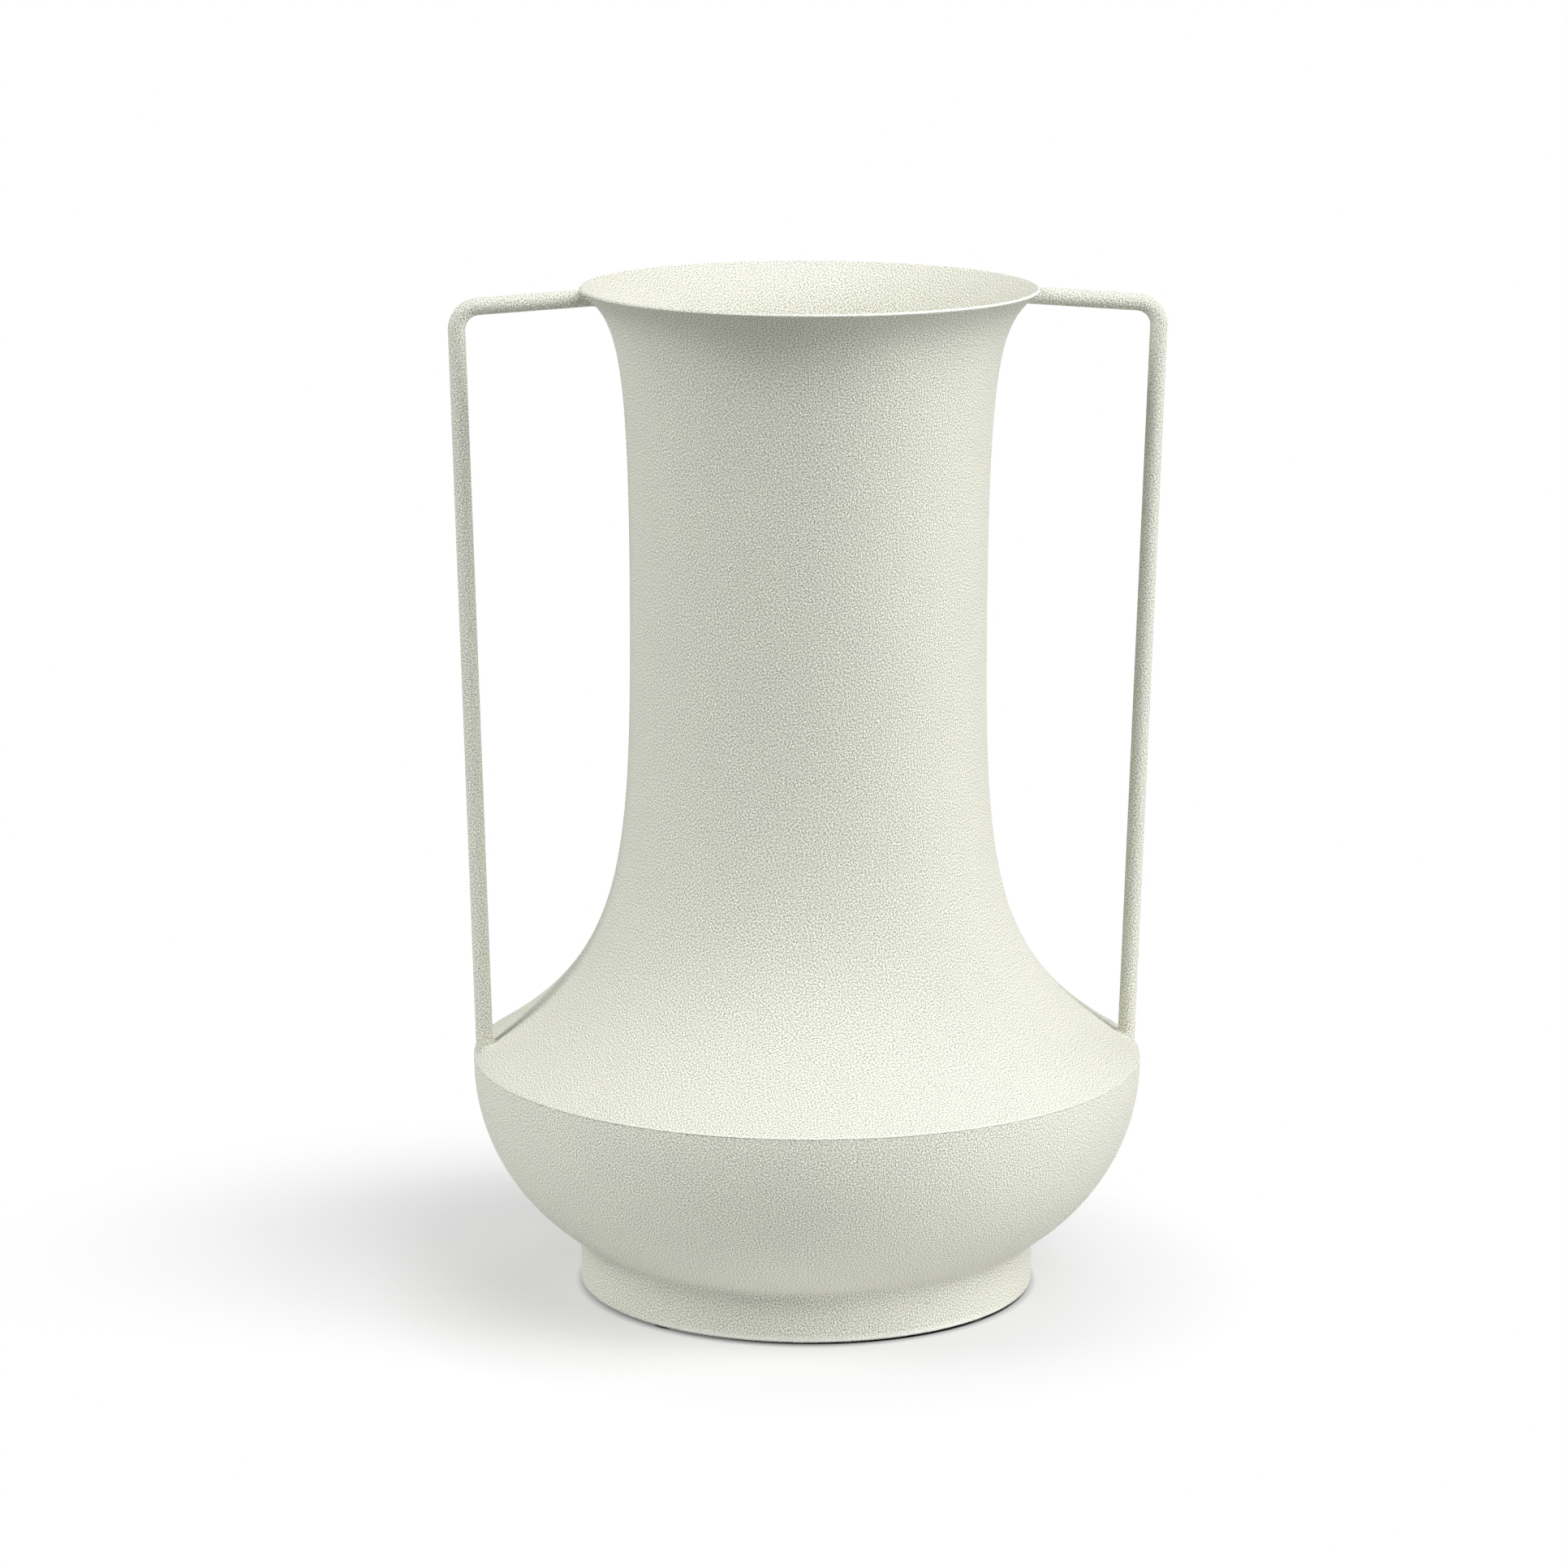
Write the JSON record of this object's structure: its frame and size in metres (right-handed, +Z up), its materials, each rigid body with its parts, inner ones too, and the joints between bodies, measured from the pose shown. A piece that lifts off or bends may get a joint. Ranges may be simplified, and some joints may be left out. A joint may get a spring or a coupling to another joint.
{
  "type": "twin-handled vase",
  "caption": "Tall waisted metal vase with a flared lip, wide shoulder, shallow bowl on a ring foot and slim bent-bar handles from lip to shoulder, for holding cut flowers and stems.",
  "frame": {"origin": "middle of the base, on the surface that the vase stands on", "axes": "+Z up along the vase's axis, the handles along +X and -X, +Y towards the back"},
  "size_m": [0.2492, 0.236, 0.3558],
  "materials": {
    "powder_coat": "matte fine-textured warm off-white powder coat on steel sheet and bar",
    "felt": "thin dark grey felt"
  },
  "bodies": {
    "root": {"neck_shell": "powder_coat", "bowl_shell": "powder_coat", "body_seam_weld": "powder_coat", "foot_ring": "powder_coat", "foot_weld": "powder_coat", "handle_left": "powder_coat", "handle_right": "powder_coat", "lip_weld_left": "powder_coat", "lip_weld_right": "powder_coat", "shoulder_weld_left": "powder_coat", "shoulder_weld_right": "powder_coat", "foot_pad_1": "felt", "foot_pad_2": "felt", "foot_pad_3": "felt", "foot_pad_4": "felt"}
  },
  "joints": []
}
